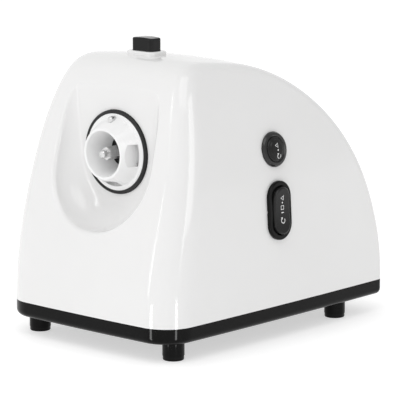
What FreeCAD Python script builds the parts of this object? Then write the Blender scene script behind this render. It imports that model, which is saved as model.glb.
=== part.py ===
import FreeCAD, Part
import math
import os
from FreeCAD import Vector

# Drive unit of a table-top meat grinder. Millimetres. +Z up, the head socket faces -Y,
# the two switches are on the +X side, and the feet stand on z = 0.

# ---- outer shell ----
HALF_W = 83.4                 # half width at mid length, low down
HALF_L = 120.6                # half length
BASE_TOP = 25.2               # joint line between the base and the housing
TAPER = 15.8                  # how far a side leans in by TAPER_RISE above the base
TAPER_RISE = 150.0
TAPER_POWER = 3.3
BOW = 1.6                     # how far a side bows in at the two ends
CROWN_FOOT = 1.75             # how far front and rear fall away at the sides, at the joint line
CROWN_TOP = 6.2               # and the most, halfway along the profile
WALL = 2.5
SIDE_PROFILE = [
    (-HALF_L, BASE_TOP), (-115.2, 74.6), (-101.8, 129.5), (-89.9, 171.4),
    (-71.4, 201.0), (-39.6, 203.8), (-6.3, 199.4), (28.4, 187.0), (63.4, 162.8),
    (92.8, 127.0), (113.0, 80.4), (119.4, 52.0), (HALF_L, BASE_TOP),
]
EDGE_R = (24.0, 11.5, 5.5)   # edge rounding at the front foot, front top and rear foot

# ---- scooped recess and head socket ----
AXIS_Z = 137.7                # height of the drive axis
RECESS_FLOOR = -84.2
RECESS_W = 46.3
RECESS_Z = 130.0              # centre of the recess's round lower end
RECESS_TOP = 188.0
HOLLOW_R = (22.0, 15.0, 8.0)    # hollow at the foot of the recess's wall: foot, sides and top
RIM_FADE = -96.8                # no rounding on rim edges that start behind this
SOCKET_HOLE_R = 30.3
FLANGE_R = 27.5
FLANGE_FRONT = -86.6
POCKET_FLOOR = -81.8            # bottom of the lug pockets
POCKET_R = (19.4, 24.4)         # their inner and outer radius
MOUTH = -98.9
BORE_END = -78.3
LATCH_Z = AXIS_Z + 23.5

# ---- base ----
BASE_BOTTOM = 13.5
FOOT_R = 7.86
FEET = [(66.5, -97.5), (-66.5, -97.5), (66.5, 80.3), (-66.5, 80.3)]
BASE_SCREWS = [(74.0, -70.0), (-74.0, -70.0), (74.0, 50.0), (-74.0, 50.0)]

# ---- gear train: each stage is (module, teeth of its wheel), driven by a small pinion ----
TEETH_PINION = 12
STAGE_1 = (1.0, 60)
STAGE_2 = (1.25, 54)
STAGE_3 = (1.5, 44)
SHIFT = 0.4                   # profile shift, + on the pinion and - on the wheel
THIN = 0.2                    # tooth thinning on each gear
ANGLE_OUT_2 = -132.0          # direction from the output axis to the second axle
ANGLE_2_1 = -12.0
ANGLE_1_MOTOR = -130.0

CASE_FRONT = -70.0
CASE_REAR = -28.0
COVER_REAR = -25.0
CASE_WALL = 2.5
SHAFT_R = 6.0
AXLE_R = 3.0
RUN = 0.05                    # radial clearance of a running fit
GAP = 0.3                     # gap between parts that move past each other

# ---- lock button ----
LOCK_Y = -53.3
PLATFORM = 178.0              # top of the latch platform on the gear case
BOSS_TOP = 207.3
LOCK_TOP = 217.0

# ---- switches ----
SWITCH_Y = -4.0
ROUND_Z = 138.2
ROCKER_Z = 94.7

# ---- mains inlet ----
CORD_X = 0.0
CORD_Z = 72.0
CORD_R = 3.7

# The rocker stands out on the +X side, so the whole width is centred on x = 0 as it is saved.
SHIFT_X = -2.58

os.makedirs("parts", exist_ok=True)


def save(shape, name):
    shape.translate(Vector(SHIFT_X, 0, 0))
    shape.exportStep("parts/" + name + ".step")


def polar(centre, distance, degrees):
    a = math.radians(degrees)
    return (centre[0] + distance * math.cos(a), centre[1] + distance * math.sin(a))


def centre_distance(stage):
    return stage[0] * (TEETH_PINION + stage[1]) / 2.0


OUTPUT = (0.0, AXIS_Z)
AXIS_2 = polar(OUTPUT, centre_distance(STAGE_3), ANGLE_OUT_2)
AXIS_1 = polar(AXIS_2, centre_distance(STAGE_2), ANGLE_2_1)
MOTOR = polar(AXIS_1, centre_distance(STAGE_1), ANGLE_1_MOTOR)


# ---- helpers ----

def box(x0, x1, y0, y1, z0, z1):
    return Part.makeBox(x1 - x0, y1 - y0, z1 - z0, Vector(x0, y0, z0))


def rod_y(at, r, y0, y1):
    return Part.makeCylinder(r, y1 - y0, Vector(at[0], y0, at[1]), Vector(0, 1, 0))


def rod_z(at, r, z0, z1):
    return Part.makeCylinder(r, z1 - z0, Vector(at[0], at[1], z0), Vector(0, 0, 1))


def tube_y(at, r_out, r_in, y0, y1):
    return rod_y(at, r_out, y0, y1).cut(rod_y(at, r_in, y0 - 1, y1 + 1))


def turned_y(at, profile):
    """Revolve closed (radius, y) points about the Y-direction axis through at = (x, z)."""
    points = [Vector(at[0] + r, y, at[1]) for r, y in profile]
    wire = Part.makePolygon(points + [points[0]])
    return Part.Face(wire).revolve(Vector(at[0], 0, at[1]), Vector(0, 1, 0), 360)


def turned_z(profile):
    """Revolve closed (radius, z) points about the Z axis."""
    points = [Vector(r, 0, z) for r, z in profile]
    wire = Part.makePolygon(points + [points[0]])
    return Part.Face(wire).revolve(Vector(0, 0, 0), Vector(0, 0, 1), 360)


def rounded_block(length, width, corner, z0, z1):
    """Prism on z0..z1, centred on the Z axis, length along X, with rounded upright edges."""
    block = box(-length / 2, length / 2, -width / 2, width / 2, z0, z1)
    upright = [e for e in block.Edges if e.BoundBox.ZLength > 0.5 * (z1 - z0)]
    return block.makeFillet(corner, upright)


def stadium(length, width, z0, z1):
    """Prism on z0..z1 with half-round ends, length along X."""
    reach = (length - width) / 2
    middle = box(-reach, reach, -width / 2, width / 2, z0, z1)
    ends = [rod_z((reach, 0), width / 2, z0, z1), rod_z((-reach, 0), width / 2, z0, z1)]
    return middle.fuse(ends).removeSplitter()


def fillet_edges(shape, choose):
    """Round each edge for which choose(edge) gives the radii at its two ends."""
    doc = FreeCAD.newDocument("rounding")
    source = doc.addObject("Part::Feature", "Source")
    source.Shape = shape
    feature = doc.addObject("Part::Fillet", "Fillet")
    feature.Base = source
    edges = []
    for number, edge in enumerate(shape.Edges, 1):
        radii = choose(edge)
        if radii:
            edges.append((number, radii[0], radii[1]))
    feature.Edges = edges
    doc.recompute()
    result = feature.Shape.copy()
    FreeCAD.closeDocument("rounding")
    return result.Solids[0]


def top_rounded(shape, radius, z):
    """Round the edges that lie in the plane at height z."""
    edges = [e for e in shape.Edges if e.BoundBox.ZMin > z - 0.01]
    return shape.makeFillet(radius, edges)


def spring_z(radius, wire, turns, z0, z1):
    """Compression spring on the Z axis between heights z0 and z1."""
    rise = z1 - z0 - 2 * wire
    helix = Part.makeHelix(rise / turns, rise, radius)
    section = Part.Wire(Part.makeCircle(wire, Vector(radius, 0, 0), Vector(0, 1, 0)))
    coil = Part.Wire(helix).makePipeShell([section], True, True)
    coil.translate(Vector(0, 0, z0 + wire))
    return coil


def screw_z(head_r, head_h, shank_r, length):
    """Pan head screw, head above z = 0 and shank below, with a cross recess."""
    head = Part.makeCylinder(head_r, head_h)
    head = head.makeFillet(head_h * 0.45, [e for e in head.Edges if e.BoundBox.ZMin > head_h - 0.01])
    arm = head_r * 0.6
    slot = head_r * 0.12
    head = head.cut(box(-arm, arm, -slot, slot, head_h * 0.45, head_h + 1))
    head = head.cut(box(-slot, slot, -arm, arm, head_h * 0.45, head_h + 1))
    shank = Part.makeCylinder(shank_r, length, Vector(0, 0, -length))
    tip = [e for e in shank.Edges if e.BoundBox.ZMax < -length + 0.01]
    shank = shank.makeChamfer(shank_r * 0.4, tip)
    return head.fuse(shank)


def placed(shape, position, turn_axis=None, degrees=0.0):
    copy = shape.copy()
    if turn_axis:
        copy.rotate(Vector(0, 0, 0), turn_axis, degrees)
    copy.translate(Vector(*position))
    return copy


def screw_to_front(shape, at, y):
    """Place a Z screw with its head seat at y, driven towards +Y."""
    return placed(shape, (at[0], y, at[1]), Vector(1, 0, 0), 90)


def screw_to_rear(shape, at, y):
    """Place a Z screw with its head seat at y, driven towards -Y."""
    return placed(shape, (at[0], y, at[1]), Vector(1, 0, 0), -90)


def hull_prism(circles, y0, y1):
    """Convex hull of circles ((x, z), r), listed anticlockwise seen with X right and Z up."""
    count = len(circles)
    tangents = []
    for i in range(count):
        (a, ra), (b, rb) = circles[i], circles[(i + 1) % count]
        dx, dz = b[0] - a[0], b[1] - a[1]
        distance = math.hypot(dx, dz)
        heading = math.atan2(dz, dx) - math.acos((ra - rb) / distance)
        normal = (math.cos(heading), math.sin(heading))
        tangents.append((
            (a[0] + ra * normal[0], a[1] + ra * normal[1]),
            (b[0] + rb * normal[0], b[1] + rb * normal[1]),
            heading,
        ))
    edges = []
    for i in range(count):
        start, end, heading = tangents[i]
        edges.append(Part.makeLine(Vector(start[0], y0, start[1]), Vector(end[0], y0, end[1])))
        following, _, next_heading = tangents[(i + 1) % count]
        centre, radius = circles[(i + 1) % count]
        while next_heading < heading:
            next_heading += 2 * math.pi
        middle = (heading + next_heading) / 2
        through = Vector(centre[0] + radius * math.cos(middle), y0, centre[1] + radius * math.sin(middle))
        arc = Part.Arc(Vector(end[0], y0, end[1]), through, Vector(following[0], y0, following[1]))
        edges.append(arc.toShape())
    return Part.Face(Part.Wire(edges)).extrude(Vector(0, y1 - y0, 0))


# ---- housing ----

def profile_curve():
    curve = Part.BSplineCurve()
    curve.interpolate([Vector(0, y, z) for y, z in SIDE_PROFILE])
    return curve


def wrap_surface(inset):
    """Crowned surface over the front, top and rear, moved inwards by inset."""
    curve = profile_curve()
    steps = 48
    grid = []
    for i in range(steps + 1):
        t = curve.parameterAtDistance(curve.length() * i / steps)
        point = curve.value(t)
        along = curve.tangent(t)[0]
        if i in (0, steps):
            along = Vector(0, 0, math.copysign(1, along.z))
        inward = Vector(0, along.z, -along.y)
        crown = CROWN_FOOT + (CROWN_TOP - CROWN_FOOT) * math.sin(math.pi * i / steps)
        row = []
        for k in range(-4, 5):
            x = 24.0 * k
            moved = point + inward * (inset + crown * (x / HALF_W) ** 2)
            row.append(Vector(x, moved.y, moved.z))
        grid.append(row)
    surface = Part.BSplineSurface()
    surface.interpolate(grid)
    return surface


def side_x(y, z):
    """X of the housing's side."""
    rise = max(0.0, z - BASE_TOP) / TAPER_RISE
    return HALF_W - TAPER * rise ** TAPER_POWER - BOW * (y / HALF_L) ** 2


def beyond_side(inset):
    """Solid that fills everything beyond the +X side, moved inwards by inset."""
    grid = []
    for i in range(21):
        y = -130.0 + 13.0 * i
        grid.append([Vector(side_x(y, 15.0 + 12.5 * k) - inset, y, 15.0 + 12.5 * k) for k in range(17)])
    surface = Part.BSplineSurface()
    surface.interpolate(grid)
    return surface.toShape().extrude(Vector(150, 0, 0))


def cap_face(faces, x):
    """Flat end of the wrapped surface at the given x, with its bottom edge."""
    rim = [e for f in faces for e in f.Edges
           if abs(e.BoundBox.XMin - x) < 0.001 and abs(e.BoundBox.XMax - x) < 0.001]
    points = [v.Point for e in rim for v in e.Vertexes]
    front = min(points, key=lambda p: p.y)
    rear = max(points, key=lambda p: p.y)
    bottom = Part.makeLine(front, rear)
    return Part.Face(Part.Wire(Part.__sortEdges__(rim + [bottom]))), bottom


def shell_body(inset):
    """Solid body of the housing, moved inwards by inset, down to the joint line."""
    surface = wrap_surface(inset)
    u0, u1, v0, v1 = surface.bounds()
    split = u0 + 0.46 * (u1 - u0)
    front = surface.copy()
    front.segment(u0, split, v0, v1)
    rear = surface.copy()
    rear.segment(split, u1, v0, v1)
    faces = [front.toShape(), rear.toShape()]
    right, right_line = cap_face(faces, 96.0)
    left, left_line = cap_face(faces, -96.0)
    low = [e for f in faces for e in f.Edges if e.BoundBox.ZMax < BASE_TOP + 0.01]
    bottom = Part.Face(Part.Wire(Part.__sortEdges__(low + [right_line, left_line])))
    solid = Part.Solid(Part.makeShell(faces + [right, left, bottom]))
    if solid.Volume < 0:
        solid.reverse()
    beyond = beyond_side(inset)
    solid = solid.cut(beyond).cut(beyond.mirror(Vector(0, 0, 0), Vector(1, 0, 0))).Solids[0]

    def edge_radii(edge):
        if edge.BoundBox.ZLength < 60:
            return None
        is_front = edge.BoundBox.YMin < -100
        radii = EDGE_R[0:2] if is_front else EDGE_R[1:3]
        radii = [r - inset for r in radii]
        if edge.Vertexes[0].Point.y > edge.Vertexes[-1].Point.y:
            radii.reverse()
        return radii

    return fillet_edges(solid, edge_radii)


def recess_tool(grow):
    """Shield-shaped scoop, open at the front, with a hollow at the foot of its walls."""
    w = RECESS_W + grow
    y = RECESS_FLOOR + grow
    slant = w * math.sqrt(0.5)
    left = Vector(-w, y, RECESS_Z)
    low = Vector(0, y, RECESS_Z - w)
    right = Vector(w, y, RECESS_Z)
    top_right = Vector(w, y, RECESS_TOP)
    top_left = Vector(-w, y, RECESS_TOP)
    outline = Part.Wire([
        Part.Arc(left, Vector(-slant, y, RECESS_Z - slant), low).toShape(),
        Part.Arc(low, Vector(slant, y, RECESS_Z - slant), right).toShape(),
        Part.makeLine(right, top_right),
        Part.makeLine(top_right, top_left),
        Part.makeLine(top_left, left),
    ])
    tool = Part.Face(outline).extrude(Vector(0, -60, 0))
    at_foot, at_side, at_top = HOLLOW_R

    def floor_radii(edge):
        b = edge.BoundBox
        if b.YMin < y - 0.01 or b.ZLength < 0.1 or b.ZMin > RECESS_TOP - 1:
            return None
        rising = edge.Vertexes[0].Point.z < edge.Vertexes[-1].Point.z
        low_r, high_r = (at_foot, at_side) if b.XLength > 1 else (at_side, at_top)
        return (low_r, high_r) if rising else (high_r, low_r)

    return fillet_edges(tool, floor_radii)


def soften_rim(shape):
    """Round the recess's rim, fading out where the floor runs into the leaning front."""
    def rim_radii(edge):
        b = edge.BoundBox
        if b.XMin < -RECESS_W - 0.2 or b.XMax > RECESS_W + 0.2 or b.ZMin < 80 or b.YMax > -84:
            return None
        if edge.Curve.TypeId != "Part::GeomBSplineCurve" or b.XLength > 84 or b.YMin > RIM_FADE:
            return None
        p = edge.valueAt((edge.FirstParameter + edge.LastParameter) / 2)
        if p.z < RECESS_Z:
            on_arc = abs(math.hypot(p.x, p.z - RECESS_Z) - RECESS_W) < 0.05
            return (3.0, 3.0) if on_arc else None
        rising = edge.Vertexes[0].Point.z < edge.Vertexes[-1].Point.z
        return (3.0, 2.0) if rising else (2.0, 3.0)

    return fillet_edges(shape, rim_radii)


def lock_boss():
    """Raised pad that the lock button comes out of."""
    pad = rounded_block(27.0, 17.5, 4.5, 190.0, BOSS_TOP)
    pad = top_rounded(pad, 1.2, BOSS_TOP)
    return placed(pad, (0, LOCK_Y, 0))


def switch_place(shape, z):
    """Move a part made with its outward direction on +Z to the side wall at height z."""
    slope = (side_x(SWITCH_Y, z + 1) - side_x(SWITCH_Y, z - 1)) / 2
    tilt = math.degrees(math.atan(-slope))
    return placed(shape, (side_x(SWITCH_Y, z), SWITCH_Y, z), Vector(0, 1, 0), 90 - tilt)


def housing_posts():
    """Screw posts for the base, each tied to the side wall by a rib, and the gear case bosses."""
    posts = []
    for x, y in BASE_SCREWS:
        side = 1 if x > 0 else -1
        post = rod_z((x, y), 4.5, 27.7, 58.0)
        rib = box(min(x, side * 81.0), max(x, side * 81.0), y - 1.2, y + 1.2, 27.7, 58.0)
        posts.append(post.fuse(rib).cut(rod_z((x, y), 1.5, 20.0, 48.0)))
    for at in CASE_EARS:
        posts.append(rod_y(at, 5.0, -82.5, CASE_FRONT).cut(rod_y(at, 1.5, -80.0, -60.0)))
    return posts


CASE_EARS = [polar(OUTPUT, 43.5, 35.5), polar(OUTPUT, 43.5, 144.5)]


def build_housing():
    outer = shell_body(0.0)
    shape = outer.cut(recess_tool(0.0)).Solids[0]
    shape = soften_rim(shape)
    shape = shape.fuse(lock_boss())
    hollow = shell_body(WALL).cut(recess_tool(WALL))
    shape = shape.cut(hollow)
    shape = shape.fuse(housing_posts())
    shape = shape.cut(rod_y(OUTPUT, SOCKET_HOLE_R, -95.0, -78.0))
    well = rounded_block(20.3, 12.3, 2.9, 180.0, 220.0)
    shape = shape.cut(placed(well, (0, LOCK_Y, 0)))
    shape = shape.cut(switch_place(rod_z((0, 0), 10.4, -12.0, 12.0), ROUND_Z))
    shape = shape.cut(switch_place(stadium(40.0, 21.5, -12.0, 12.0), ROCKER_Z))
    shape = shape.cut(gland_place(rod_z((0, 0), 6.5, -12.0, 8.0)))
    return shape


# ---- base and feet ----

def plan_prism(inset, z0, z1):
    """Upright prism with the housing's outline at the joint line, moved inwards by inset."""
    def end_y(x):
        return HALF_L - inset - CROWN_FOOT * (x / HALF_W) ** 2

    def side(y):
        return side_x(y, BASE_TOP) - inset

    corner_x = HALF_W
    for _ in range(20):
        corner_x = side(end_y(corner_x))
    corner_y = end_y(corner_x)
    steps = [i / 8.0 - 1.0 for i in range(17)]
    rear = [Vector(-corner_x * t, end_y(corner_x * t), z0) for t in steps]
    left = [Vector(-side(corner_y * t), -corner_y * t, z0) for t in steps]
    front = [Vector(corner_x * t, -end_y(corner_x * t), z0) for t in steps]
    right = [Vector(side(corner_y * t), corner_y * t, z0) for t in steps]
    edges = []
    for points in (front, right, rear, left):
        curve = Part.BSplineCurve()
        curve.interpolate(points)
        edges.append(curve.toShape())
    prism = Part.Face(Part.Wire(edges)).extrude(Vector(0, 0, z1 - z0))
    for radius, at_front in ((EDGE_R[0] - inset, True), (EDGE_R[2] - inset, False)):
        upright = [e for e in prism.Edges
                   if e.BoundBox.ZLength > 0.9 * (z1 - z0) and e.BoundBox.XLength < 0.01
                   and abs(e.BoundBox.YMin) > corner_y - 1 and (e.BoundBox.YMin < 0) == at_front]
        prism = prism.makeFillet(radius, upright)
    return prism


def base_vents():
    slots = []
    for i in range(11):
        slot = placed(stadium(54.0, 3.0, 5.0, 20.0), (-45.0 + 9.0 * i, 8.0, 0), Vector(0, 0, 1), 90)
        slots.append(slot)
    return slots


def build_base():
    body = plan_prism(0.0, BASE_BOTTOM, BASE_TOP)
    low = [e for e in body.Edges if e.BoundBox.ZMax < BASE_BOTTOM + 0.01]
    body = body.makeFillet(4.5, low)
    body = body.fuse(plan_prism(WALL + 0.1, BASE_BOTTOM + 1.0, BASE_TOP + 2.5))
    body = body.cut(plan_prism(WALL + 1.8, BASE_BOTTOM + 2.5, BASE_TOP + 10.0))
    for x, y in BASE_SCREWS:
        body = body.fuse(rod_z((x, y), 5.5, BASE_BOTTOM + 0.5, 27.7))
    for x, y in FEET:
        leg = rod_z((x, y), FOOT_R, 3.2, BASE_BOTTOM + 1.0)
        body = body.fuse(leg)
    for x, y in DAMPERS:
        body = body.fuse(rod_z((x, y), 9.0, BASE_BOTTOM + 1.0, 20.0))
    for x, y in BASE_SCREWS:
        body = body.cut(rod_z((x, y), 4.2, 5.0, 18.0))
        body = body.cut(rod_z((x, y), 1.8, 5.0, 30.0))
        body = body.cut(rod_z((x, y), 4.7, 27.7, 32.0))
    for x, y in FEET:
        body = body.cut(rod_z((x, y), 3.0, 0.0, 10.0))
    return body.cut(base_vents()).Solids[0]


def build_foot_pads():
    pads = []
    for x, y in FEET:
        pad = Part.makeCylinder(FOOT_R - 0.3, 3.2)
        pad = pad.makeFillet(0.8, [e for e in pad.Edges if e.BoundBox.ZMax < 0.01])
        pad = pad.fuse(Part.makeCylinder(3.0, 9.0))
        pads.append(placed(pad, (x, y, 0)))
    return Part.makeCompound(pads)


def build_base_screws():
    screw = placed(screw_z(3.6, 2.4, 1.5, 26.0), (0, 0, 0), Vector(1, 0, 0), 180)
    return Part.makeCompound([placed(screw, (x, y, 18.0)) for x, y in BASE_SCREWS])


GEARBOX_FEET = [(-27.0, -48.0), (5.0, -48.0)]
MOTOR_FEET = [(MOTOR[0] - 20.0, 62.0), (MOTOR[0] + 20.0, 62.0)]
DAMPERS = GEARBOX_FEET + MOTOR_FEET


def build_dampers():
    pads = []
    for x, y in DAMPERS:
        pad = turned_z([
            (0, 20), (7.5, 20), (7.5, 22.5), (6.0, 24), (6.0, 26), (7.5, 27.5), (7.5, 30), (0, 30),
        ])
        pads.append(placed(pad, (x, y, 0)))
    return Part.makeCompound(pads)


# ---- head socket ----

SOCKET_EARS = [polar(OUTPUT, 24.5, a) for a in (30, 150, 270)]


def bayonet_pocket(degrees):
    """Cut-out in the collar for one lug of the grinder head, with a slot to turn it into."""
    inner, outer = POCKET_R
    entry = rod_y((0, 0), outer, POCKET_FLOOR - 20.0, POCKET_FLOOR)
    entry = entry.common(box(inner, outer + 1, -110.0, -70.0, -8.0, 8.0))
    slot = Part.makeCylinder(outer, 2.6, Vector(0, POCKET_FLOOR - 2.6, 0), Vector(0, 1, 0), 42)
    slot = slot.cut(rod_y((0, 0), inner + 0.4, POCKET_FLOOR - 3.6, POCKET_FLOOR + 1.0))
    pocket = entry.fuse(slot)
    pocket.rotate(Vector(0, 0, 0), Vector(0, 1, 0), -degrees)
    pocket.translate(Vector(0, 0, AXIS_Z))
    return pocket


def build_head_socket():
    body = turned_y(OUTPUT, [
        (16.9, MOUTH), (18.0, MOUTH), (18.5, MOUTH + 0.5), (24.7, FLANGE_FRONT), (26.9, FLANGE_FRONT),
        (FLANGE_R, FLANGE_FRONT + 0.6), (FLANGE_R, -79.6), (20.0, -79.6), (20.0, CASE_FRONT),
        (12.1, CASE_FRONT), (12.1, -74.0), (7.0, -74.0), (7.0, -76.0), (11.3, -76.0),
        (11.3, BORE_END), (16.4, MOUTH + 0.5),
    ])
    for at in SOCKET_EARS:
        ear = rod_y(at, 4.8, -74.0, CASE_FRONT)
        body = body.fuse(ear)
    for at in SOCKET_EARS:
        body = body.cut(rod_y(at, 1.8, -79.0, -60.0))
    for angle in (0, 180, 270):
        body = body.cut(bayonet_pocket(angle))
    body = body.cut(rod_y((0, LATCH_Z), 2.4 + RUN, -92.0, -70.0))
    return body


def build_socket_gasket():
    return turned_y(OUTPUT, [
        (FLANGE_R, -86.0), (29.7, -86.0), (30.0, -85.7), (30.0, -81.5), (33.5, -81.5),
        (33.5, -79.8), (FLANGE_R, -79.8),
    ])


def build_socket_screws():
    screw = screw_z(3.0, 2.0, 1.5, 7.5)
    return Part.makeCompound([screw_to_front(screw, at, -74.0) for at in SOCKET_EARS])


# ---- gears ----

def gear_face(module, teeth, shift):
    """Involute spur gear outline in the XY plane, with one tooth centred on +X."""
    pitch_r = module * teeth / 2.0
    base_r = pitch_r * math.cos(math.radians(20))
    tip_r = pitch_r + module * (1 + shift)
    root_r = pitch_r - module * (1.25 - shift)
    thick = module * (math.pi / 2 + 2 * shift * math.tan(math.radians(20))) - THIN
    half_at_pitch = thick / (2 * pitch_r)
    spread = math.tan(math.radians(20)) - math.radians(20)

    def flank_angle(r):
        a = math.acos(min(1.0, base_r / r))
        return half_at_pitch + spread - (math.tan(a) - a)

    start_r = max(base_r, root_r)
    radii = [start_r + (tip_r - start_r) * (i / 5.0) ** 1.5 for i in range(6)]

    def at(r, angle):
        return Vector(r * math.cos(angle), r * math.sin(angle), 0)

    edges = []
    pitch_angle = 2 * math.pi / teeth
    for i in range(teeth):
        mid = i * pitch_angle
        rising = [at(r, mid - flank_angle(r)) for r in radii]
        falling = [at(r, mid + flank_angle(r)) for r in reversed(radii)]
        root_in = at(root_r, mid - flank_angle(start_r))
        root_out = at(root_r, mid + flank_angle(start_r))
        for points in (rising, falling):
            flank = Part.BSplineCurve()
            flank.interpolate(points)
            edges.append(flank.toShape())
        edges.append(Part.Arc(rising[-1], at(tip_r, mid), falling[0]).toShape())
        if start_r > root_r:
            edges.append(Part.makeLine(root_in, rising[0]))
            edges.append(Part.makeLine(falling[-1], root_out))
        space_mid = mid + pitch_angle / 2
        next_in = at(root_r, mid + pitch_angle - flank_angle(start_r))
        edges.append(Part.Arc(root_out, at(root_r, space_mid), next_in).toShape())
    return Part.Face(Part.Wire(Part.__sortEdges__(edges)))


def gear(module, teeth, shift, at, tooth_at, y0, y1):
    """Spur gear on the Y-direction axis through at, with a tooth centred at the angle tooth_at."""
    solid = gear_face(module, teeth, shift).extrude(Vector(0, 0, y1 - y0))
    solid.rotate(Vector(0, 0, 0), Vector(0, 0, 1), tooth_at)
    solid.rotate(Vector(0, 0, 0), Vector(1, 0, 0), 90)
    solid.translate(Vector(at[0], y1, at[1]))
    return solid


def pinion(stage, at, tooth_at, y0, y1):
    return gear(stage[0], TEETH_PINION, SHIFT, at, tooth_at, y0, y1)


def wheel(stage, at, towards_pinion, y0, y1):
    """Wheel with a tooth space centred on the direction of its pinion."""
    tooth_at = towards_pinion + 180.0 / stage[1]
    return gear(stage[0], stage[1], -SHIFT, at, tooth_at, y0, y1)


def dished(stage, at, y0, y1, rim, hub, web):
    """Ring-shaped cutters that leave a web of the given thickness between rim and hub."""
    r_out = stage[0] * stage[1] / 2.0 - stage[0] * 1.65 - rim
    middle = (y0 + y1) / 2.0
    return [
        tube_y(at, r_out, hub, y0 - 1, middle - web / 2),
        tube_y(at, r_out, hub, middle + web / 2, y1 + 1),
    ]


def build_output_gear():
    y0, y1 = -65.0, -54.0
    body = wheel(STAGE_3, OUTPUT, ANGLE_OUT_2, y0, y1)
    body = body.cut(dished(STAGE_3, OUTPUT, y0, y1, 2.5, 11.0, 4.0))
    for k in range(6):
        body = body.cut(rod_y(polar(OUTPUT, 18.5, 60 * k), 4.0, y0 - 1, y1 + 1))
    return body.cut(hex_prism(OUTPUT, 12.0, y0 - 1, y1 + 1))


def hex_prism(at, across, y0, y1):
    corners = [polar(at, across / math.sqrt(3), 60 * k + 30) for k in range(6)]
    points = [Vector(x, y0, z) for x, z in corners]
    return Part.Face(Part.makePolygon(points + [points[0]])).extrude(Vector(0, y1 - y0, 0))


def build_output_shaft():
    """Journal, hexagon for the gear, hexagon for the worm and pilot tip, in one steel piece."""
    front = rod_y(OUTPUT, SHAFT_R, -75.5, -65.3)
    seat = hex_prism(OUTPUT, 11.95, -65.3, -53.8)
    rear = rod_y(OUTPUT, 5.6, -53.8, -26.0)
    drive = hex_prism(OUTPUT, 8.4, -95.0, -75.5)
    tip = rod_y(OUTPUT, 2.8, -100.0, -95.0)
    tip = tip.makeChamfer(0.6, [e for e in tip.Edges if e.BoundBox.YMax < -99.9])
    shaft = front.fuse([seat, rear, drive, tip])
    groove = tube_y(OUTPUT, 8.0, 5.0, -53.6, -52.6)
    return shaft.cut(groove)


def build_shaft_ring():
    """Retaining ring behind the output gear, open at one side."""
    ring = tube_y(OUTPUT, 7.2, 5.0, -53.6, -52.6)
    return ring.cut(box(-1.5, 1.5, -54.0, -52.0, AXIS_Z + 4.0, AXIS_Z + 8.0))


def build_second_gear():
    small = pinion(STAGE_3, AXIS_2, ANGLE_OUT_2 + 180, -65.0, -51.0)
    large = wheel(STAGE_2, AXIS_2, ANGLE_2_1, -51.0, -42.0)
    large = large.cut(dished(STAGE_2, AXIS_2, -51.0, -42.0, 2.5, 10.0, 3.5))
    body = small.fuse(large)
    return body.cut(rod_y(AXIS_2, AXLE_R + RUN, -70.0, -40.0))


def build_first_gear():
    small = pinion(STAGE_2, AXIS_1, ANGLE_2_1 + 180, -51.0, -40.0)
    large = wheel(STAGE_1, AXIS_1, ANGLE_1_MOTOR, -40.0, -32.0)
    large = large.cut(dished(STAGE_1, AXIS_1, -40.0, -32.0, 2.0, 8.5, 3.0))
    body = small.fuse(large)
    return body.cut(rod_y(AXIS_1, AXLE_R + RUN, -53.0, -30.0))


def build_axle(at, y0, y1):
    axle = rod_y(at, AXLE_R, y0, y1)
    ends = [e for e in axle.Edges if e.BoundBox.YLength < 0.01]
    return axle.makeChamfer(0.4, ends)


def build_output_bushes():
    front = turned_y(OUTPUT, [
        (SHAFT_R + RUN, -73.5), (9.0, -73.5), (9.0, -66.4), (11.0, -66.4), (11.0, -65.4),
        (SHAFT_R + RUN, -65.4),
    ])
    rear = turned_y(OUTPUT, [
        (5.6 + RUN, -41.0), (9.5, -41.0), (9.5, -40.0), (8.0, -40.0), (8.0, -26.0), (5.6 + RUN, -26.0),
    ])
    return Part.makeCompound([front, rear])


def build_shaft_seal():
    return turned_y(OUTPUT, [
        (SHAFT_R + RUN, -77.8), (7.2, -78.2), (8.0, -77.6), (10.4, -77.6), (10.7, -78.2), (11.25, -78.2),
        (11.25, -76.0), (SHAFT_R + RUN, -76.0),
    ])


# ---- gear case ----

def case_circles(inset):
    return [
        (OUTPUT, 38.0 - inset), (AXIS_2, 38.5 - inset), (MOTOR, 13.0 - inset), (AXIS_1, 34.5 - inset),
    ]


CASE_SCREWS = [
    polar(OUTPUT, 41.0, 12), polar(OUTPUT, 41.0, 168), polar(AXIS_2, 41.5, 190),
    polar(AXIS_1, 37.5, -15), polar(MOTOR, 16.5, 215),
]
MOTOR_SCREWS = [
    (MOTOR[0] - 22.0, MOTOR[1] + 18.0), (MOTOR[0] + 22.0, MOTOR[1] + 18.0), polar(MOTOR, 16.5, -70),
]


def latch_platform():
    """Deck on top of the case: side rails for the latch slide and two cups for the springs."""
    deck = box(-11.0, 11.0, -66.0, -32.0, 171.0, PLATFORM)
    for side in (-1, 1):
        inner, outer = side * 4.4, side * 5.0
        x0, x1 = sorted((inner, outer))
        deck = deck.fuse(box(x0, x1, -66.0, -32.0, PLATFORM - 0.5, PLATFORM + 2.2))
        deck = deck.fuse(rod_z((side * 7.6, LOCK_Y), 1.6, PLATFORM - 0.5, PLATFORM + 3.0))
    return deck


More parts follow.
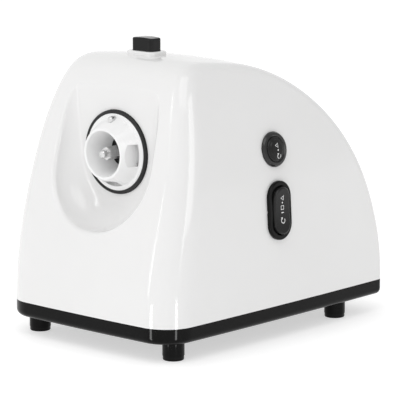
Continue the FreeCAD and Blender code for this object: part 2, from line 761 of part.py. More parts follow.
def build_gear_case():
    body = hull_prism(case_circles(0.0), CASE_FRONT, CASE_REAR)
    body = body.fuse(latch_platform())
    body = body.fuse([rod_y(at, 7.0, CASE_FRONT, -65.0) for at in CASE_EARS])
    body = body.fuse([rod_y(at, 5.0, CASE_FRONT, CASE_REAR) for at in CASE_SCREWS])
    web = box(-14.0, -8.0, -64.0, -34.0, 32.0, MOTOR[1])
    foot = box(-38.0, 16.0, -60.0, -36.0, 30.0, 34.0)
    body = body.fuse([web, foot])
    body = body.cut(hull_prism(case_circles(CASE_WALL), CASE_FRONT + 3.0, CASE_REAR + 1.0))
    body = body.fuse([
        rod_y(OUTPUT, 12.0, -74.0, -66.4),
        rod_y(AXIS_2, 6.0, -68.0, -65.4),
        rod_y(AXIS_1, 6.0, -68.0, -51.4),
    ])
    body = body.cut([
        rod_y(OUTPUT, 9.0, -80.0, -60.0),
        rod_y(AXIS_2, AXLE_R, -69.0, -60.0),
        rod_y(AXIS_1, AXLE_R, -69.0, -50.0),
    ])
    body = body.cut([rod_y(at, 1.5, -72.0, -66.0) for at in SOCKET_EARS])
    body = body.cut([rod_y(at, 1.8, -72.0, -60.0) for at in CASE_EARS])
    body = body.cut([rod_y(at, 1.5, -50.0, -20.0) for at in CASE_SCREWS])
    return body.removeSplitter()


def build_gear_cover():
    body = hull_prism(case_circles(0.0), CASE_REAR, COVER_REAR)
    body = body.fuse([rod_y(at, 5.0, CASE_REAR, COVER_REAR) for at in CASE_SCREWS])
    body = body.fuse([rod_y(at, 5.5, CASE_REAR, -21.0) for at in MOTOR_SCREWS])
    body = body.fuse([
        rod_y(OUTPUT, 10.5, -40.0, -25.5),
        rod_y(AXIS_2, 6.0, -41.6, -27.0),
        rod_y(AXIS_1, 6.0, -31.6, -27.0),
    ])
    body = body.cut([
        rod_y(OUTPUT, 8.0, -42.0, -26.0),
        rod_y(AXIS_2, AXLE_R, -45.0, -26.4),
        rod_y(AXIS_1, AXLE_R, -35.0, -26.4),
        rod_y(MOTOR, 12.3, -32.0, -20.0),
    ])
    body = body.cut([rod_y(at, 1.8, -30.0, -24.0) for at in CASE_SCREWS])
    body = body.cut([rod_y(at, 1.5, -30.0, -20.0) for at in MOTOR_SCREWS])
    return body.removeSplitter()


def build_case_screws():
    screw = screw_z(3.4, 2.2, 1.5, 15.0)
    rear = [screw_to_rear(screw, at, COVER_REAR) for at in CASE_SCREWS]
    upper = [screw_to_rear(screw_z(3.4, 2.2, 1.5, 12.0), at, -65.0) for at in CASE_EARS]
    return Part.makeCompound(rear + upper)


# ---- motor ----

def motor_plate(y0, y1):
    plate = rounded_block(76.0, 64.0, 14.0, -y1, -y0)
    return placed(plate, (MOTOR[0], 0, MOTOR[1]), Vector(1, 0, 0), 90)


MOTOR_BOLTS = [(MOTOR[0] + sx * 31.0, MOTOR[1] + sz * 25.0) for sx in (-1, 1) for sz in (-1, 1)]


def build_stator():
    body = motor_plate(4.0, 40.0)
    windows = [
        box(MOTOR[0] + 16.0, MOTOR[0] + 31.0, 3.0, 41.0, MOTOR[1] - 17.5, MOTOR[1] + 17.5),
        box(MOTOR[0] - 31.0, MOTOR[0] - 16.0, 3.0, 41.0, MOTOR[1] - 17.5, MOTOR[1] + 17.5),
    ]
    body = body.cut(rod_y(MOTOR, 21.0, 3.0, 41.0)).cut(windows)
    return body.cut([rod_y(at, 2.1, 0.0, 50.0) for at in MOTOR_BOLTS])


def build_field_coils():
    coils = []
    for side in (1, -1):
        low, high = sorted((side * 2.5, side * 16.0))
        legs = [
            box(24.8, 30.0, -5.0, 49.0, low, high),
            box(-30.0, -24.8, -5.0, 49.0, low, high),
        ]
        bends = []
        for y0, y1 in ((-6.0, 3.4), (40.6, 50.0)):
            ring = tube_y((0, 0), 30.0, 22.6, y0, y1)
            bends.append(ring.common(box(-31, 31, y0, y1, *sorted((side * 2.5, side * 31.0)))))
        coil = legs[0].fuse(legs[1:] + bends)
        coils.append(placed(coil, (MOTOR[0], 0, MOTOR[1])))
    return Part.makeCompound(coils)


def slot_cutters(r, half_opening, y0, y1):
    cutters = []
    for k in range(12):
        a = 30.0 * k
        hole = rod_y(polar((0, 0), 14.8, a), r, y0, y1)
        mouth = box(14.8, 22.0, y0, y1, -half_opening, half_opening)
        mouth.rotate(Vector(0, 0, 0), Vector(0, 1, 0), -a)
        cutters.append(hole.fuse(mouth))
    return cutters


def build_rotor_core():
    body = rod_y((0, 0), 20.4, 4.0, 40.0)
    body = body.cut(slot_cutters(2.6, 0.8, 3.0, 41.0))
    body = body.cut(rod_y((0, 0), 3.5, 3.0, 41.0))
    return placed(body, (MOTOR[0], 0, MOTOR[1]))


def build_armature_winding():
    """Copper in the slots, bulging into a ring at each end of the core."""
    rods = [rod_y(polar((0, 0), 14.8, 30.0 * k), 2.4, 3.0, 41.0) for k in range(12)]
    ends = []
    for y0, y1 in ((-5.5, 4.0), (40.0, 49.5)):
        ring = tube_y((0, 0), 18.2, 6.0, y0, y1)
        outer = [e for e in ring.Edges if e.BoundBox.XMax > 18.0 and e.BoundBox.YLength < 0.01]
        ends.append(ring.makeFillet(3.0, outer))
    body = ends[0].fuse(rods + ends[1:])
    return placed(body, (MOTOR[0], 0, MOTOR[1]))


def build_motor_shaft():
    shaft = rod_y(MOTOR, 3.5, -42.0, 78.0)
    return shaft.makeChamfer(0.5, [e for e in shaft.Edges if e.BoundBox.YLength < 0.01])


def build_motor_pinion():
    body = pinion(STAGE_1, MOTOR, ANGLE_1_MOTOR + 180, -40.5, -31.5)
    return body.cut(rod_y(MOTOR, 3.5, -50.0, -20.0))


def build_commutator():
    body = tube_y((0, 0), 11.5, 3.5, 51.0, 64.0)
    collar = tube_y((0, 0), 13.0, 9.0, 51.0, 52.5)
    body = body.fuse(collar)
    for k in range(24):
        groove = box(10.3, 14.0, 50.0, 65.0, -0.3, 0.3)
        groove.rotate(Vector(0, 0, 0), Vector(0, 1, 0), 15.0 * k)
        body = body.cut(groove)
    return placed(body, (MOTOR[0], 0, MOTOR[1]))


def build_fan():
    """Radial fan: hub, back disc and eleven blades."""
    disc = tube_y((0, 0), 26.5, 3.5, -9.2, -8.0)
    hub = tube_y((0, 0), 7.5, 3.5, -14.5, -8.0)
    blades = []
    for k in range(11):
        blade = box(7.0, 26.5, -14.0, -8.6, -0.7, 0.7)
        blade.rotate(Vector(7.0, 0, 0), Vector(0, 1, 0), 18.0)
        blade.rotate(Vector(0, 0, 0), Vector(0, 1, 0), 360.0 * k / 11)
        blades.append(blade)
    body = disc.fuse([hub] + blades)
    body = body.common(tube_y((0, 0), 26.5, 3.5, -15.0, -7.0))
    return placed(body, (MOTOR[0], 0, MOTOR[1]))


def build_motor_bearings():
    front = tube_y(MOTOR, 9.5, 3.55, -26.0, -20.0)
    rear = tube_y(MOTOR, 9.5, 3.55, 68.0, 74.0)
    grooves = []
    for y in (-26.0, -20.4, 68.0, 73.6):
        grooves.append(tube_y(MOTOR, 8.0, 5.0, y, y + 0.4))
    return Part.makeCompound([front.cut(grooves[0:2]), rear.cut(grooves[2:4])])


def bracket(y0, y1, hub0, hub1, bearing0, bearing1, posts):
    body = motor_plate(y0, y1)
    windows = []
    for k in range(4):
        a = 45.0 + 90.0 * k
        windows.append(rod_y(polar(MOTOR, 22.0, a - 45.0), 6.5, y0 - 1, y1 + 1))
    body = body.cut(windows)
    body = body.fuse(rod_y(MOTOR, 12.0, hub0, hub1))
    body = body.fuse([rod_y(at, 4.0, posts[0], posts[1]) for at in MOTOR_BOLTS])
    body = body.cut(rod_y(MOTOR, 9.5, bearing0, bearing1))
    body = body.cut(rod_y(MOTOR, 5.0, hub0 - 1, hub1 + 1))
    return body.cut([rod_y(at, 2.1, -40.0, 90.0) for at in MOTOR_BOLTS])


def build_front_bracket():
    body = bracket(-21.0, -18.0, -27.0, -17.0, -26.0, -16.0, (-19.0, 4.0))
    body = body.cut([rod_y(at, 1.8, -25.0, -15.0) for at in MOTOR_SCREWS])
    return body.removeSplitter()


def build_rear_bracket():
    body = bracket(66.0, 69.0, 66.0, 75.0, 67.0, 74.0, (40.0, 67.0))
    for side in (-1, 1):
        inner, outer = sorted((MOTOR[0] + side * 15.0, MOTOR[0] + side * 35.0))
        body = body.fuse(box(inner, outer, 61.6, 66.5, MOTOR[1] - 6.5, MOTOR[1] + 6.5))
    web = box(MOTOR[0] - 27.0, MOTOR[0] + 27.0, 66.0, 69.0, 32.0, MOTOR[1] - 25.0)
    foot = box(MOTOR[0] - 30.0, MOTOR[0] + 30.0, 55.0, 69.0, 30.0, 33.0)
    return body.fuse([web, foot]).removeSplitter()


def build_motor_bolts():
    bolt = screw_z(3.8, 3.0, 2.0, 94.0)
    nut_blank = Part.makeCylinder(3.8, 3.0, Vector(0, 0, -93.0))
    bolt = bolt.fuse(nut_blank)
    return Part.makeCompound([screw_to_rear(bolt, at, 69.0) for at in MOTOR_BOLTS])


def build_motor_screws():
    screw = screw_z(3.2, 2.0, 1.5, 9.0)
    return Part.makeCompound([screw_to_rear(screw, at, -18.0) for at in MOTOR_SCREWS])


def build_brush_holders():
    tubes = []
    for side in (-1, 1):
        x0, x1 = sorted((MOTOR[0] + side * 14.0, MOTOR[0] + side * 33.0))
        outer = box(x0, x1, 53.6, 61.6, MOTOR[1] - 5.0, MOTOR[1] + 5.0)
        inner0, inner1 = sorted((MOTOR[0] + side * 10.0, MOTOR[0] + side * 32.2))
        outer = outer.cut(box(inner0, inner1, 54.4, 60.8, MOTOR[1] - 4.2, MOTOR[1] + 4.2))
        tubes.append(outer)
    return Part.makeCompound(tubes)


def build_brushes():
    blocks = []
    for side in (-1, 1):
        x0, x1 = sorted((MOTOR[0] + side * 11.0, MOTOR[0] + side * 25.0))
        block = box(x0, x1, 54.6, 60.6, MOTOR[1] - 4.0, MOTOR[1] + 4.0)
        blocks.append(block.cut(rod_y(MOTOR, 11.5 + GAP, 50.0, 65.0)))
    return Part.makeCompound(blocks)


def build_brush_springs():
    coil = spring_z(2.2, 0.35, 5, 0.0, 7.2)
    right = placed(coil, (MOTOR[0] + 25.0, 57.6, MOTOR[1]), Vector(0, 1, 0), 90)
    left = placed(coil, (MOTOR[0] - 25.0, 57.6, MOTOR[1]), Vector(0, 1, 0), -90)
    return Part.makeCompound([right, left])


# ---- lock button and latch ----

PIN_Z = 187.6                 # cross pin at rest


def build_lock_button():
    """Domed cap with a retaining skirt and a fork that holds the cross pin."""
    cap = rounded_block(19.5, 11.5, 2.6, 199.0, LOCK_TOP)
    dome = Part.makeCylinder(80.0, 20.0, Vector(0, -10.0, LOCK_TOP - 80.0), Vector(0, 1, 0))
    cap = cap.common(dome.fuse(box(-15, 15, -10, 10, 190, 205)))
    crest = [e for e in cap.Edges if e.BoundBox.ZMin > LOCK_TOP - 1.3]
    cap = cap.makeFillet(1.1, crest)
    skirt = rounded_block(22.6, 14.6, 3.5, 196.8, 199.0)
    hollow = rounded_block(14.0, 6.5, 1.5, 190.0, 204.0)
    body = cap.fuse(skirt)
    body = body.cut(hollow)
    for side in (-1, 1):
        x0, x1 = sorted((side * 2.0, side * 4.2))
        body = body.fuse(box(x0, x1, -4.0, 4.0, 185.8, 205.0))
    body = body.cut(Part.makeCylinder(1.5, 20.0, Vector(-10.0, 0, PIN_Z), Vector(1, 0, 0)))
    return placed(body, (0, LOCK_Y, 0)).removeSplitter()


def build_lock_cross_pin():
    return Part.makeCylinder(1.5, 8.4, Vector(-4.2, LOCK_Y, PIN_Z), Vector(1, 0, 0))


def build_lock_springs():
    coil = spring_z(2.15, 0.35, 7, PLATFORM, 196.8)
    return Part.makeCompound([placed(coil, (side * 7.6, LOCK_Y, 0)) for side in (-1, 1)])


def build_latch_pin():
    pin = rod_y((0, LATCH_Z), 2.4, -91.6, -76.6)
    return pin.makeFillet(0.8, [e for e in pin.Edges if e.BoundBox.YMax < -91.5])


def build_latch_slide():
    """Plate that carries the lock pin, arm on the case deck and a fin with the 45 degree cam slot."""
    plate = box(-4.0, 4.0, -79.2, -76.6, 157.9, 180.0)
    arm = box(-4.0, 4.0, -79.2, -44.0, PLATFORM + 0.3, 180.2)
    fin = box(-1.5, 1.5, -63.5, -48.5, 179.5, 190.8)
    body = plate.fuse([arm, fin]).cut(rod_y((0, LATCH_Z), 2.4, -85.0, -70.0))
    slot = stadium(7.07 + 3.7, 3.7, -3.0, 3.0)
    slot.translate(Vector(-7.07 / 2, 0, 0))
    slot.rotate(Vector(0, 0, 0), Vector(0, 0, 1), 45)
    slot.rotate(Vector(0, 0, 0), Vector(1, 0, 0), 90)
    slot.rotate(Vector(0, 0, 0), Vector(0, 0, 1), 90)
    slot.translate(Vector(0, LOCK_Y, PIN_Z))
    return body.cut(slot.common(box(-1.6, 1.6, -80, -40, 170, 195)))


# ---- round switch ----

def build_round_bezel():
    body = turned_z([
        (9.3, -5.0), (10.3, -5.0), (10.3, 0.02), (12.7, 0.02), (12.7, 1.0), (11.8, 2.3),
        (10.1, 2.6), (9.3, 2.2),
    ])
    return switch_place(body, ROUND_Z)


def build_round_button():
    body = turned_z([
        (0, -10.0), (2.2, -10.0), (2.2, -6.6), (10.0, -6.6), (10.0, -5.3), (9.0, -5.3), (9.0, 2.3),
        (8.2, 3.1), (7.2, 3.2), (6.6, 4.0), (5.0, 4.3), (0, 4.5),
    ])
    return switch_place(body, ROUND_Z)


def build_round_spring():
    return switch_place(spring_z(4.6, 0.4, 3, -13.0, -6.6), ROUND_Z)


def build_round_switch():
    body = rounded_block(17.0, 17.0, 1.5, -27.0, -13.0)
    body = body.fuse(Part.makeCylinder(1.6, 0.4, Vector(0, 0, -13.0)))
    for side in (-1, 1):
        body = body.fuse(box(side * 5.0 - 0.4, side * 5.0 + 0.4, -2.4, 2.4, -34.0, -26.5))
    return switch_place(body, ROUND_Z)


# ---- rocker switch ----

def build_rocker_bezel():
    flange = stadium(42.7, 24.2, 0.02, 2.6)
    flange = flange.makeFillet(1.1, [e for e in flange.Edges if e.BoundBox.ZMin > 2.59])
    neck = stadium(39.8, 21.3, -9.0, 0.5)
    body = flange.fuse(neck).cut(stadium(36.2, 17.6, -10.0, 4.0))
    body = body.cut(Part.makeCylinder(1.5 + RUN, 30.0, Vector(0, -15.0, -1.0), Vector(0, 1, 0)))
    return switch_place(body.removeSplitter(), ROCKER_Z)


def build_rocker():
    """Stadium key with a saddle top, hinge pins at mid length and a toe for the switch."""
    key = stadium(34.2, 16.8, -4.0, 6.4)
    saddle = Part.makeCylinder(70.0, 30.0, Vector(0, -15.0, 3.9 + 70.0), Vector(0, 1, 0))
    key = key.cut(saddle)
    rim = [e for e in key.Edges if e.BoundBox.ZMin > 3.5]
    key = key.makeFillet(1.3, rim)
    toe = rounded_block(5.0, 6.0, 1.0, -9.0, -3.0)
    pins = Part.makeCylinder(1.5, 20.0, Vector(0, -10.0, -1.0), Vector(0, 1, 0))
    return switch_place(key.fuse([toe, pins]), ROCKER_Z)


def build_rocker_switch():
    body = rounded_block(30.0, 15.0, 1.5, -31.0, -11.0)
    rim = rounded_block(37.0, 18.5, 6.0, -12.5, -9.8).cut(rounded_block(28.0, 12.0, 1.0, -15.0, -5.0))
    body = body.cut(rounded_block(10.0, 8.0, 1.0, -12.5, -5.0)).fuse(rim)
    for k in (-1, 0, 1):
        body = body.fuse(box(k * 9.0 - 2.4, k * 9.0 + 2.4, -0.4, 0.4, -38.0, -30.5))
    return switch_place(body, ROCKER_Z)


# ---- electrical parts ----

def build_terminal_block():
    block = box(34.0, 64.0, 66.0, 80.0, 16.0, 30.0)
    for k in range(3):
        block = block.cut(rod_z((39.0 + 10.0 * k, 73.0), 2.6, 24.0, 32.0))
        hole = Part.makeCylinder(1.9, 20.0, Vector(39.0 + 10.0 * k, 63.0, 20.0), Vector(0, 1, 0))
        block = block.cut(hole)
    return block


def build_capacitor():
    body = box(-72.0, -54.0, 62.0, 88.0, 16.0, 32.0)
    body = body.makeFillet(1.2, [e for e in body.Edges if e.BoundBox.ZLength > 10])
    return body


def build_cord_clamp():
    bar = box(CORD_X - 13.0, CORD_X + 13.0, 92.0, 101.0, 16.0, 26.0)
    bar = bar.cut(Part.makeCylinder(CORD_R, 12.0, Vector(CORD_X, 91.0, 19.5), Vector(0, 1, 0)))
    bar = bar.cut(box(CORD_X - CORD_R, CORD_X + CORD_R, 91.0, 102.0, 15.0, 19.5))
    return bar.cut([rod_z((CORD_X + side * 9.0, 96.5), 1.5, 10.0, 30.0) for side in (-1, 1)])


def build_clamp_screws():
    screw = screw_z(3.0, 2.0, 1.5, 9.8)
    return Part.makeCompound([placed(screw, (CORD_X + side * 9.0, 96.5, 26.0)) for side in (-1, 1)])


def gland_place(shape):
    """Move a part made with its outward direction on +Z to the rear wall at the inlet."""
    curve = profile_curve()
    low, high = (curve.FirstParameter + curve.LastParameter) / 2, curve.LastParameter
    for _ in range(40):
        middle = (low + high) / 2
        if curve.value(middle).z > CORD_Z:
            low = middle
        else:
            high = middle
    point = curve.value(low)
    along = curve.tangent(low)[0]
    lean = math.degrees(math.atan2(along.y, -along.z))
    return placed(shape, (CORD_X, point.y, CORD_Z), Vector(1, 0, 0), -90 + lean)


def build_cord_gland():
    """Rubber bush in the rear wall, left open for the lead."""
    return gland_place(turned_z([
        (CORD_R, -9.0), (9.0, -9.0), (9.0, -6.0), (6.5, -5.5), (6.5, 0.08), (8.6, 0.08),
        (8.6, 0.9), (7.6, 1.6), (CORD_R, 1.6),
    ]))


def wire_run(points, radius):
    path = Part.BSplineCurve()
    path.interpolate([Vector(*p) for p in points])
    edge = path.toShape()
    start = path.value(path.FirstParameter)
    along = path.tangent(path.FirstParameter)[0]
    section = Part.Wire(Part.makeCircle(radius, start, along))
    return Part.Wire(edge).makePipeShell([section], True, True)


def build_wires_live():
    return Part.makeCompound([
        wire_run([(39, 80.4, 20), (38, 92, 20), (30, 97, 28), (14, 98, 46), (3, 99, 62)], 1.2),
        wire_run([(39, 65.6, 20), (41, 56, 21), (44, 40, 30), (46, 14, 60), (44.8, -2, 83)], 1.2),
        wire_run([(43.6, -5.5, 94.5), (38, -8, 104), (37, -6, 118), (42, -4, 128)], 1.2),
    ])


def build_wires_neutral():
    return Part.makeCompound([
        wire_run([
            (49, 80.4, 20), (47, 92, 20.5), (30, 103, 24), (4, 106, 36), (-4, 104, 56), (-3, 101, 64),
        ], 1.2),
        wire_run([(49, 65.6, 20), (50, 54, 24), (46, 50, 44), (34, 56, 64), (24.4, 58, 70)], 1.2),
    ])


def save_all():
    save(build_housing(), "housing")
    save(build_base(), "base")
    save(build_foot_pads(), "foot_pads")
    save(build_base_screws(), "base_screws")
    save(build_dampers(), "dampers")
    save(build_head_socket(), "head_socket")
    save(build_socket_gasket(), "socket_gasket")
    save(build_socket_screws(), "socket_screws")
    save(build_output_gear(), "output_gear")
    save(build_output_shaft(), "output_shaft")
    save(build_shaft_ring(), "shaft_ring")
    save(build_second_gear(), "second_gear")
    save(build_first_gear(), "first_gear")
    save(build_axle(AXIS_2, -69.0, -26.4), "second_axle")
    save(build_axle(AXIS_1, -69.0, -26.4), "first_axle")
    save(build_output_bushes(), "output_bushes")
    save(build_shaft_seal(), "shaft_seal")
    save(build_gear_case(), "gear_case")
    save(build_gear_cover(), "gear_cover")
    save(build_case_screws(), "case_screws")
    save(build_stator(), "stator_core")
    save(build_field_coils(), "field_coils")
    save(build_rotor_core(), "rotor_core")
    save(build_armature_winding(), "armature_winding")
    save(build_motor_shaft(), "motor_shaft")
    save(build_motor_pinion(), "motor_pinion")
    save(build_commutator(), "commutator")
    save(build_fan(), "fan")
    save(build_motor_bearings(), "motor_bearings")
    save(build_front_bracket(), "motor_bracket_front")
    save(build_rear_bracket(), "motor_bracket_rear")
    save(build_motor_bolts(), "motor_bolts")
    save(build_motor_screws(), "motor_screws")
    save(build_brush_holders(), "brush_holders")
    save(build_brushes(), "brushes")
    save(build_brush_springs(), "brush_springs")
    save(build_lock_button(), "lock_button")
    save(build_lock_cross_pin(), "lock_cross_pin")
    save(build_lock_springs(), "lock_springs")
    save(build_latch_pin(), "latch_pin")
    save(build_latch_slide(), "latch_slide")
    save(build_round_bezel(), "reverse_bezel")
    save(build_round_button(), "reverse_button")
    save(build_round_spring(), "reverse_spring")
    save(build_round_switch(), "reverse_switch")
    save(build_rocker_bezel(), "rocker_bezel")
    save(build_rocker(), "rocker")
    save(build_rocker_switch(), "rocker_switch")
    save(build_terminal_block(), "terminal_block")
    save(build_capacitor(), "capacitor")
    save(build_cord_clamp(), "cord_clamp")
    save(build_clamp_screws(), "clamp_screws")
    save(build_cord_gland(), "cord_gland")
    save(build_wires_live(), "wires_live")
    save(build_wires_neutral(), "wires_neutral")


save_all()
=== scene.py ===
"""Looks of the drive unit of an electric meat grinder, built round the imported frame."""
import math

import bmesh
import bpy
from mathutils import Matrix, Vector
from mathutils.bvhtree import BVHTree


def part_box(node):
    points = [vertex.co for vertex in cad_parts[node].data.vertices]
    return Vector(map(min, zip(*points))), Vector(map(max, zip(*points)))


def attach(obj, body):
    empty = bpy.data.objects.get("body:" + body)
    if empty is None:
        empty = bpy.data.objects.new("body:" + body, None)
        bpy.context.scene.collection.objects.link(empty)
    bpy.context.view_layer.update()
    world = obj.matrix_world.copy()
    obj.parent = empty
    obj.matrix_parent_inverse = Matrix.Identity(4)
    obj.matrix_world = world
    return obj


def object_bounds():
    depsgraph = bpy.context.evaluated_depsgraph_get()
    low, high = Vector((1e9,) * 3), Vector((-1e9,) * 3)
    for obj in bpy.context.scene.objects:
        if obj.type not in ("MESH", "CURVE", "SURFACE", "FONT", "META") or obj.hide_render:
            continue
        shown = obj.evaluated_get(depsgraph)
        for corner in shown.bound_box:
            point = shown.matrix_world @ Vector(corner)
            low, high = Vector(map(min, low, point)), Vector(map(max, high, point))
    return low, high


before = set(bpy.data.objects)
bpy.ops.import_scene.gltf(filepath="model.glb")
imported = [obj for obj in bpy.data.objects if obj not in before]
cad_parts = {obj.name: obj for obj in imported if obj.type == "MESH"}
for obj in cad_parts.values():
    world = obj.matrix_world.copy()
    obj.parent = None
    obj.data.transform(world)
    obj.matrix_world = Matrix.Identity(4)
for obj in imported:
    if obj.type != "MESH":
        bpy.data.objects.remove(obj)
cad_low, cad_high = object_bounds()

MM = 0.001
CENTRE = (cad_low + cad_high) / 2

# Camera: a long lens, three quarters from the front, a little above.
CAMERA_AZIMUTH = 42.198
CAMERA_ELEVATION = 10.47
CAMERA_DISTANCE = 1.8
CAMERA_LENS = 219.55
CAMERA_SENSOR = 36.0
CAMERA_AIM = CENTRE + Vector((-1.2 * MM, 1.7 * MM, -17.2 * MM))

# Lights: azimuth and elevation in degrees, distance, width and height in metres, power in watts.
# The key light is the only one that lights matt faces. The others show in glossy ones: a wide box
# and two upright strips further off, and two short strips round CORNER, the middle of the rounding
# at the base's front right corner.
KEY_LIGHT = (38.0, 58.0, 1.8, 1.2, 1.2, 7.5)
FAR_SHINES = {
    "strip_front": (-22.0, 17.0, 0.8, 0.035, 0.66, 0.5),
    "side_box": (82.0, 22.0, 0.8, 0.3, 0.6, 1.4),
    "strip_side": (70.0, 17.0, 0.8, 0.02, 0.66, 0.3),
}
CORNER_SHINES = {
    "low_strip_front": (-9.0, 0.0, 0.05, 0.005, 0.04, 0.009),
    "low_strip_side": (68.0, 0.0, 0.05, 0.005, 0.04, 0.009),
}
CORNER = Vector((cad_high.x - 22 * MM, cad_low.y + 22 * MM, 20 * MM))

# Surroundings: white, fading to a light grey in this direction.
SHADE_TOWARDS = Vector((0.6, 0.3, 0.74)).normalized()
SHADE_LEVEL = 0.58
SHADE_FULL_AT = 0.9

FLOOR_HALF = 6.0

# Printed signs: how far the ink stands out of the plastic and reaches into it, and the pinhole
# that a filled sign keeps in its middle.
INK_ABOVE = 0.06 * MM
INK_BELOW = 0.05 * MM
PINHOLE = 0.02 * MM


# ---------------------------------------------------------------- materials

class Graph:
    """A material's nodes, with short calls for the ones used here."""

    def __init__(self, name):
        self.material = bpy.data.materials.new(name + "_finish")
        self.material.use_nodes = True
        self.nodes = self.material.node_tree.nodes
        self.links = self.material.node_tree.links
        self.shader = self.nodes["Principled BSDF"]
        self.place = self.nodes.new("ShaderNodeTexCoord").outputs["Object"]

    def add(self, kind, inputs=None, **settings):
        node = self.nodes.new("ShaderNode" + kind)
        for key, value in settings.items():
            setattr(node, key, value)
        for key, value in (inputs or {}).items():
            if isinstance(value, bpy.types.NodeSocket):
                self.links.new(value, node.inputs[key])
            else:
                node.inputs[key].default_value = value
        return node

    def stretched(self, scale):
        return self.add("Mapping", {"Vector": self.place, "Scale": scale}).outputs["Vector"]

    def noise(self, scale, detail=3.0, vector=None, roughness=0.55):
        inputs = {"Vector": vector or self.place, "Scale": scale, "Detail": detail,
                  "Roughness": roughness}
        return self.add("TexNoise", inputs).outputs["Fac"]

    def bands(self, scale, distortion, axis):
        inputs = {"Vector": self.place, "Scale": scale, "Distortion": distortion, "Detail": 2.0}
        return self.add("TexWave", inputs, bands_direction=axis).outputs["Fac"]

    def cells(self, scale):
        return self.add("TexVoronoi", {"Vector": self.place, "Scale": scale}).outputs["Distance"]

    def ramp(self, factor, *stops):
        """Colour by a factor, from stops of position and colour."""
        node = self.add("ValToRGB", {"Fac": factor})
        elements = node.color_ramp.elements
        while len(elements) < len(stops):
            elements.new(0.5)
        for element, (position, colour) in zip(elements, stops):
            element.position = position
            element.color = (*colour, 1.0)
        return node.outputs["Color"]

    def span(self, factor, low, high):
        """A value from low to high over the middle stretch of a noise."""
        inputs = {"Value": factor, "From Min": 0.3, "From Max": 0.7, "To Min": low, "To Max": high}
        return self.add("MapRange", inputs).outputs["Result"]

    def bump(self, height, strength, distance, below=None):
        inputs = {"Height": height, "Strength": strength, "Distance": distance}
        if below is not None:
            inputs["Normal"] = below
        return self.add("Bump", inputs).outputs["Normal"]

    def finish(self, colour, roughness, normal, **values):
        self.links.new(colour, self.shader.inputs["Base Color"])
        self.links.new(roughness, self.shader.inputs["Roughness"])
        self.links.new(normal, self.shader.inputs["Normal"])
        for key, value in values.items():
            self.shader.inputs[key.replace("_", " ")].default_value = value
        return self.material


def grey(level, warmth=0.0):
    """A grey, with more red and less blue as warmth grows."""
    return (level * (1 + warmth), level, level * (1 - warmth))


def moulded(name, dark, light, roughness, grain, strength, **values):
    """Injection-moulded plastic: faint flow marks, a fine skin and a slight change of gloss."""
    g = Graph(name)
    flow = g.noise(14.0, 2.0)
    skin = g.noise(grain, 4.0)
    colour = g.ramp(flow, (0.25, dark), (0.75, light))
    gloss = g.span(g.noise(38.0, 3.0), roughness * 0.8, roughness * 1.25)
    waves = g.bump(g.noise(24.0, 1.0), strength, 0.12 * MM)
    normal = g.bump(skin, strength, 0.03 * MM, below=waves)
    return g.finish(colour, gloss, normal, **values)


def rubber(name, level, grain):
    """Dull black rubber or carbon with fine pores."""
    g = Graph(name)
    pores = g.noise(grain, 6.0, roughness=0.7)
    colour = g.ramp(g.noise(55.0), (0.3, grey(level * 0.75)), (0.7, grey(level * 1.3)))
    gloss = g.span(g.noise(120.0), 0.42, 0.6)
    return g.finish(colour, gloss, g.bump(pores, 0.35, 0.06 * MM), Specular_IOR_Level=0.35)


def machined(name, dark, light, roughness, spin_scale, warmth=0.0):
    """Turned or ground metal: fine lines across the axis and a cloudy tint."""
    g = Graph(name)
    lines = g.noise(260.0, 5.0, vector=g.stretched((1.0, spin_scale, 1.0)))
    colour = g.ramp(lines, (0.3, grey(dark, warmth)), (0.7, grey(light, warmth)))
    gloss = g.span(g.noise(70.0), roughness * 0.75, roughness * 1.35)
    return g.finish(colour, gloss, g.bump(lines, 0.2, 0.02 * MM), Metallic=1.0)


def laminated(name):
    """Stacked sheets of core steel, one line to each sheet."""
    g = Graph(name)
    sheets = g.bands(320.0, 0.15, "Y")
    colour = g.ramp(sheets, (0.1, grey(0.11)), (0.5, grey(0.34, 0.02)), (0.9, grey(0.42, 0.02)))
    gloss = g.span(g.noise(90.0), 0.35, 0.6)
    return g.finish(colour, gloss, g.bump(sheets, 0.6, 0.12 * MM), Metallic=0.85)


def cast(name):
    """Die-cast alloy: a pebbled skin with darker hollows."""
    g = Graph(name)
    pebbles = g.cells(420.0)
    colour = g.ramp(g.noise(45.0, 5.0), (0.3, grey(0.36)), (0.7, grey(0.56)))
    gloss = g.span(g.noise(160.0), 0.38, 0.62)
    fine = g.bump(g.noise(900.0, 4.0), 0.25, 0.04 * MM)
    return g.finish(colour, gloss, g.bump(pebbles, 0.3, 0.1 * MM, below=fine), Metallic=0.9)


def wound(name):
    """Enamelled copper wire, laid side by side, with painted shade in the grooves between turns and
    a painted highlight along each turn's crest.
    """
    g = Graph(name)
    wires = g.bands(260.0, 0.4, "DIAGONAL")
    # Painted shade and highlight: the colour runs from near black in the grooves between turns to
    # light copper on each crest.
    colour = g.ramp(wires, (0.05, (0.16, 0.05, 0.02)), (0.5, (0.72, 0.3, 0.12)),
                    (0.95, (0.9, 0.45, 0.2)))
    gloss = g.span(g.noise(110.0), 0.18, 0.36)
    return g.finish(colour, gloss, g.bump(wires, 0.7, 0.18 * MM), Metallic=0.8, Coat_Weight=0.4)


def sleeve(name, dark, light):
    """Wire insulation with a soft shine and drawn lines."""
    g = Graph(name)
    colour = g.ramp(g.noise(70.0), (0.3, dark), (0.7, light))
    gloss = g.span(g.noise(150.0), 0.3, 0.45)
    return g.finish(colour, gloss, g.bump(g.noise(700.0, 3.0), 0.15, 0.03 * MM))


def printed(name):
    """White pad-printed ink, slightly uneven over the plastic's skin."""
    g = Graph(name)
    colour = g.ramp(g.noise(900.0, 4.0), (0.3, grey(0.7)), (0.7, grey(0.86)))
    gloss = g.span(g.noise(400.0), 0.4, 0.6)
    return g.finish(colour, gloss, g.bump(g.noise(1500.0), 0.2, 0.01 * MM))


